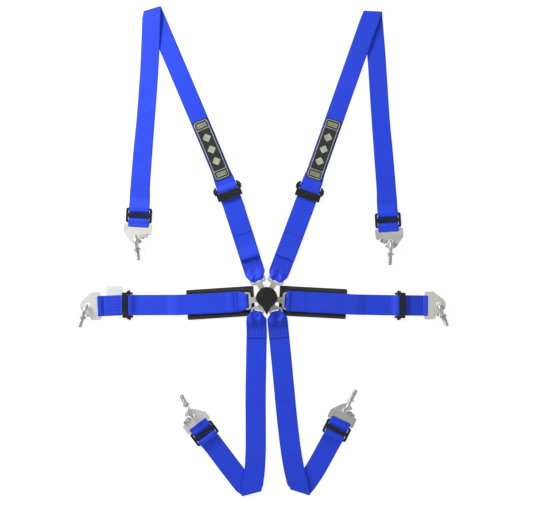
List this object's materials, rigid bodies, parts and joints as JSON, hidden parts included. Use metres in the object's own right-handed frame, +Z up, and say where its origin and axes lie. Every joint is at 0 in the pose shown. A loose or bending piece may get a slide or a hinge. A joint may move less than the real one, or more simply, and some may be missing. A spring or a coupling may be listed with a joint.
{
  "type": "racing harness",
  "caption": "Webbing racing harness with a rotary quick-release buckle, padded lap straps, steel length adjusters and snap hooks on swivelling eyebolts.",
  "frame": {"origin": "on the turning axis of the rotary buckle, at its underside, which lies on the floor", "axes": "+X to the right with the buckle facing up, +Y from the buckle towards the shoulder straps, +Z up out of the floor"},
  "size_m": [0.9108, 1.203, 0.0339],
  "materials": {
    "webbing_blue": "woven polyester webbing, royal blue",
    "pad_black": "padded woven cloth with bound edges",
    "label_black": "black cloth patch with a pale woven border",
    "tag_white": "white satin tag",
    "zinc_satin": "satin zinc-plated steel",
    "bolt_bright": "bright plated steel",
    "steel_black": "black coated steel",
    "knob_black": "black moulded plastic",
    "spring_steel": "bare spring steel"
  },
  "bodies": {
    "buckle": {"back_plate": "zinc_satin", "housing": "steel_black", "cover_plate": "zinc_satin", "centre_rivet": "spring_steel", "fixed_tongue_pin": "spring_steel", "return_spring": "spring_steel", "right_lap_tongue": "zinc_satin", "right_lap_hook_plate": "zinc_satin", "right_lap_webbing": "webbing_blue", "right_lap_end_webbing": "webbing_blue", "right_lap_adjuster_frame": "steel_black", "right_lap_adjuster_bar": "steel_black"},
    "knob": {"release_knob": "knob_black"},
    "lock_ring": {"lock_ring": "spring_steel"},
    "left_shoulder": {"left_shoulder_tongue": "zinc_satin", "left_shoulder_hook_plate": "zinc_satin", "left_shoulder_lower_webbing": "webbing_blue", "left_shoulder_long_webbing": "webbing_blue", "left_shoulder_label": "label_black", "left_shoulder_adjuster_frame": "steel_black", "left_shoulder_adjuster_bar": "steel_black", "left_shoulder_three_bar_slide": "steel_black"},
    "right_shoulder": {"right_shoulder_tongue": "zinc_satin", "right_shoulder_hook_plate": "zinc_satin", "right_shoulder_lower_webbing": "webbing_blue", "right_shoulder_long_webbing": "webbing_blue", "right_shoulder_label": "label_black", "right_shoulder_adjuster_frame": "steel_black", "right_shoulder_adjuster_bar": "steel_black", "right_shoulder_three_bar_slide": "steel_black"},
    "left_lap": {"left_lap_tongue": "zinc_satin", "left_lap_hook_plate": "zinc_satin", "left_lap_webbing": "webbing_blue", "left_lap_end_webbing": "webbing_blue", "left_lap_adjuster_frame": "steel_black", "left_lap_adjuster_bar": "steel_black", "care_tag": "tag_white"},
    "left_crotch": {"left_crotch_tongue": "zinc_satin", "left_crotch_hook_plate": "zinc_satin", "left_crotch_webbing": "webbing_blue", "left_crotch_three_bar_slide": "steel_black"},
    "right_crotch": {"right_crotch_tongue": "zinc_satin", "right_crotch_hook_plate": "zinc_satin", "right_crotch_webbing": "webbing_blue", "right_crotch_three_bar_slide": "steel_black"},
    "left_shoulder_gate": {"left_shoulder_hook_gate": "bolt_bright"},
    "left_shoulder_bolt": {"left_shoulder_eyebolt": "bolt_bright"},
    "right_shoulder_gate": {"right_shoulder_hook_gate": "bolt_bright"},
    "right_shoulder_bolt": {"right_shoulder_eyebolt": "bolt_bright"},
    "left_lap_gate": {"left_lap_hook_gate": "bolt_bright"},
    "left_lap_bolt": {"left_lap_eyebolt": "bolt_bright"},
    "right_lap_gate": {"right_lap_hook_gate": "bolt_bright"},
    "right_lap_bolt": {"right_lap_eyebolt": "bolt_bright"},
    "left_crotch_gate": {"left_crotch_hook_gate": "bolt_bright"},
    "left_crotch_bolt": {"left_crotch_eyebolt": "bolt_bright"},
    "right_crotch_gate": {"right_crotch_hook_gate": "bolt_bright"},
    "right_crotch_bolt": {"right_crotch_eyebolt": "bolt_bright"},
    "left_pad": {"left_lap_pad": "pad_black"},
    "right_pad": {"right_lap_pad": "pad_black"}
  },
  "joints": [
    {"name": "knob_turn", "type": "hinge", "parent": "buckle", "child": "knob", "pos_m": [0, 0, 0.0175], "axis": [0, 0, 1], "range_deg": [0, 60], "stiffness_Nm_per_rad": 0.12},
    {"name": "lock_ring_lift", "type": "slide", "parent": "buckle", "child": "lock_ring", "axis": [0, 0, 1], "range_m": [0, 0.0015], "stiffness_N_per_m": 4, "springref_m": 0.0302},
    {"name": "left_shoulder_release", "type": "slide", "parent": "buckle", "child": "left_shoulder", "axis": [-0.4617, 0.887, 0], "range_m": [0, 0.03]},
    {"name": "right_shoulder_release", "type": "slide", "parent": "buckle", "child": "right_shoulder", "axis": [0.4617, 0.887, 0], "range_m": [0, 0.03]},
    {"name": "left_lap_release", "type": "slide", "parent": "buckle", "child": "left_lap", "axis": [-0.9848, -0.1736, 0], "range_m": [0, 0.03]},
    {"name": "left_crotch_release", "type": "slide", "parent": "buckle", "child": "left_crotch", "axis": [-0.5592, -0.829, 0], "range_m": [0, 0.03]},
    {"name": "right_crotch_release", "type": "slide", "parent": "buckle", "child": "right_crotch", "axis": [0.5592, -0.829, 0], "range_m": [0, 0.03]},
    {"name": "left_shoulder_gate_swing", "type": "hinge", "parent": "left_shoulder", "child": "left_shoulder_gate", "pos_m": [-0.30366, 0.14846, 0.01236], "axis": [-0.0177, -0.2751, -0.9613], "range_deg": [0, 40], "stiffness_Nm_per_rad": 0.02},
    {"name": "left_shoulder_bolt_swing", "type": "hinge", "parent": "left_shoulder", "child": "left_shoulder_bolt", "pos_m": [-0.31911, 0.14811, 0.01274], "axis": [0, 0, 1], "range_deg": [-27, 54]},
    {"name": "right_shoulder_gate_swing", "type": "hinge", "parent": "right_shoulder", "child": "right_shoulder_gate", "pos_m": [0.28783, 0.13678, 0.01236], "axis": [-0.0174, 0.2751, 0.9613], "range_deg": [0, 40], "stiffness_Nm_per_rad": 0.02},
    {"name": "right_shoulder_bolt_swing", "type": "hinge", "parent": "right_shoulder", "child": "right_shoulder_bolt", "pos_m": [0.30329, 0.1364, 0.01274], "axis": [0, 0, -1], "range_deg": [-26, 56]},
    {"name": "left_lap_gate_swing", "type": "hinge", "parent": "left_lap", "child": "left_lap_gate", "pos_m": [-0.4368, -0.03496, 0.01432], "axis": [-0.3418, -0.0129, -0.9397], "range_deg": [0, 18], "stiffness_Nm_per_rad": 0.02},
    {"name": "left_lap_bolt_swing", "type": "hinge", "parent": "left_lap", "child": "left_lap_bolt", "pos_m": [-0.4387, -0.01962, 0.0148], "axis": [0, 0, 1], "range_deg": [-86, 0]},
    {"name": "right_lap_gate_swing", "type": "hinge", "parent": "buckle", "child": "right_lap_gate", "pos_m": [0.41778, -0.03288, 0.01432], "axis": [-0.342, 0.0031, 0.9397], "range_deg": [0, 18], "stiffness_Nm_per_rad": 0.02},
    {"name": "right_lap_bolt_swing", "type": "hinge", "parent": "buckle", "child": "right_lap_bolt", "pos_m": [0.41924, -0.0175, 0.0148], "axis": [0, 0, -1], "range_deg": [-86, 0]},
    {"name": "left_crotch_gate_swing", "type": "hinge", "parent": "left_crotch", "child": "left_crotch_gate", "pos_m": [-0.19409, -0.29919, 0.01236], "axis": [-0.1672, 0.2191, -0.9613], "range_deg": [0, 40], "stiffness_Nm_per_rad": 0.02},
    {"name": "left_crotch_bolt_swing", "type": "hinge", "parent": "left_crotch", "child": "left_crotch_bolt", "pos_m": [-0.18266, -0.28878, 0.01274], "axis": [0, 0, 1], "range_deg": [-11, 70]},
    {"name": "right_crotch_gate_swing", "type": "hinge", "parent": "right_crotch", "child": "right_crotch_gate", "pos_m": [0.2044, -0.28342, 0.01236], "axis": [-0.1149, -0.2505, 0.9613], "range_deg": [0, 40], "stiffness_Nm_per_rad": 0.02},
    {"name": "right_crotch_bolt_swing", "type": "hinge", "parent": "right_crotch", "child": "right_crotch_bolt", "pos_m": [0.19096, -0.27578, 0.01274], "axis": [0, 0, -1], "range_deg": [-24, 57]},
    {"name": "left_pad_slide", "type": "slide", "parent": "left_lap", "child": "left_pad", "axis": [-0.9979, -0.0647, 0], "range_m": [0, 0.02]},
    {"name": "right_pad_slide", "type": "slide", "parent": "buckle", "child": "right_pad", "axis": [0.9986, -0.0532, 0], "range_m": [0, 0.02]}
  ],
  "couplings": [
    {"joint": "lock_ring_lift", "follows": "knob_turn", "m_per_rad": 0.0014323}
  ]
}
